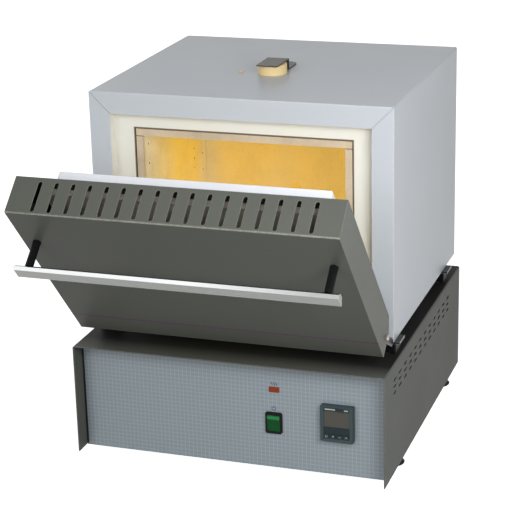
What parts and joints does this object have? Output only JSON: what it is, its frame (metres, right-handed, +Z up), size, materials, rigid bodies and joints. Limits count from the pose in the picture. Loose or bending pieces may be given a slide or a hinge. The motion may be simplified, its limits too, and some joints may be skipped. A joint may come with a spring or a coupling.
{
  "type": "muffle furnace",
  "caption": "Bench muffle furnace: heated fibre-lined case on a control base, slotted fold-down door with bar handle, top vent flap, controller and rocker switch.",
  "frame": {"origin": "bench level, under the middle of the whole furnace as it stands with its door part open", "axes": "+X to the right of someone facing the door, +Y from the door to the back, +Z up"},
  "size_m": [0.416, 0.6152, 0.4971],
  "materials": {
    "base_paint": "satin",
    "case_paint": "gloss",
    "panel_print": "satin",
    "back_zinc": "satin",
    "black_plastic": "matte",
    "bezel_plastic": "satin",
    "window": "gloss",
    "key_rubber": "matte",
    "green_rocker": "gloss",
    "lamp_lens": "gloss",
    "foot_rubber": "matte",
    "zinc_steel": "satin",
    "copper": "satin",
    "brass_pins": "polished",
    "handle_metal": "satin",
    "door_paint": "satin",
    "door_inner_steel": "matte",
    "fibre_board": "matte",
    "element_ceramic": "matte",
    "probe_ceramic": "matte",
    "vent_ceramic": "matte",
    "vent_steel": "satin"
  },
  "bodies": {
    "furnace": {"base_hood": "base_paint", "base_floor": "back_zinc", "control_panel": "panel_print", "base_back": "base_paint", "power_inlet": "black_plastic", "inlet_pins": "brass_pins", "fuse_holder": "black_plastic", "feet": "foot_rubber", "stand_off_blocks": "black_plastic", "stand_off_washers": "copper", "stand_off_bolts": "zinc_steel", "hinge_bracket_left": "zinc_steel", "hinge_bracket_right": "zinc_steel", "rear_stand_plates": "zinc_steel", "case_shell": "case_paint", "case_bottom_pan": "back_zinc", "case_back_panel": "case_paint", "front_collar": "fibre_board", "insulation_back": "fibre_board", "insulation_top": "fibre_board", "insulation_bottom": "fibre_board", "insulation_left": "fibre_board", "insulation_right": "fibre_board", "plate_top": "element_ceramic", "plate_bottom": "element_ceramic", "plate_left": "element_ceramic", "plate_right": "element_ceramic", "plate_back": "element_ceramic", "hearth_plate": "probe_ceramic", "thermocouple": "probe_ceramic", "vent_bush": "vent_ceramic", "vent_pivot_screw": "zinc_steel", "port_bead": "vent_ceramic", "controller_bezel": "bezel_plastic", "controller_window": "window", "controller_body": "black_plastic", "switch_bezel": "black_plastic", "lamp_lens": "lamp_lens", "lamp_body": "black_plastic"},
    "door": {"door_shell": "door_paint", "door_back_plate": "door_inner_steel", "door_shield": "door_inner_steel", "door_plug": "fibre_board", "handle_bar": "handle_metal", "handle_post_left": "black_plastic", "handle_post_right": "black_plastic", "handle_screws": "zinc_steel", "hinge_pin_left": "brass_pins", "hinge_pin_right": "brass_pins"},
    "vent_flap": {"vent_cover": "vent_steel"},
    "rocker": {"switch_rocker": "green_rocker"},
    "key_1_body": {"key_1": "key_rubber"},
    "key_2_body": {"key_2": "key_rubber"},
    "key_3_body": {"key_3": "key_rubber"},
    "key_4_body": {"key_4": "key_rubber"}
  },
  "joints": [
    {"name": "door_hinge", "type": "hinge", "parent": "furnace", "child": "door", "pos_m": [0, -0.10415, 0.2026], "axis": [1, 0, 0], "range_deg": [-41.8, 48.2]},
    {"name": "vent_swivel", "type": "hinge", "parent": "furnace", "child": "vent_flap", "pos_m": [0, 0.13225, 0.4827], "axis": [0, 0, 1], "range_deg": [-100, 100]},
    {"name": "power_rocker", "type": "hinge", "parent": "furnace", "child": "rocker", "pos_m": [0.0565, -0.11056, 0.0743], "axis": [1, 0, 0], "range_deg": [-12, 0]},
    {"name": "key_1_press", "type": "slide", "parent": "furnace", "child": "key_1_body", "axis": [0, 1, 0], "range_m": [0, 0.001], "stiffness_N_per_m": 400},
    {"name": "key_2_press", "type": "slide", "parent": "furnace", "child": "key_2_body", "axis": [0, 1, 0], "range_m": [0, 0.001], "stiffness_N_per_m": 400},
    {"name": "key_3_press", "type": "slide", "parent": "furnace", "child": "key_3_body", "axis": [0, 1, 0], "range_m": [0, 0.001], "stiffness_N_per_m": 400},
    {"name": "key_4_press", "type": "slide", "parent": "furnace", "child": "key_4_body", "axis": [0, 1, 0], "range_m": [0, 0.001], "stiffness_N_per_m": 400}
  ]
}
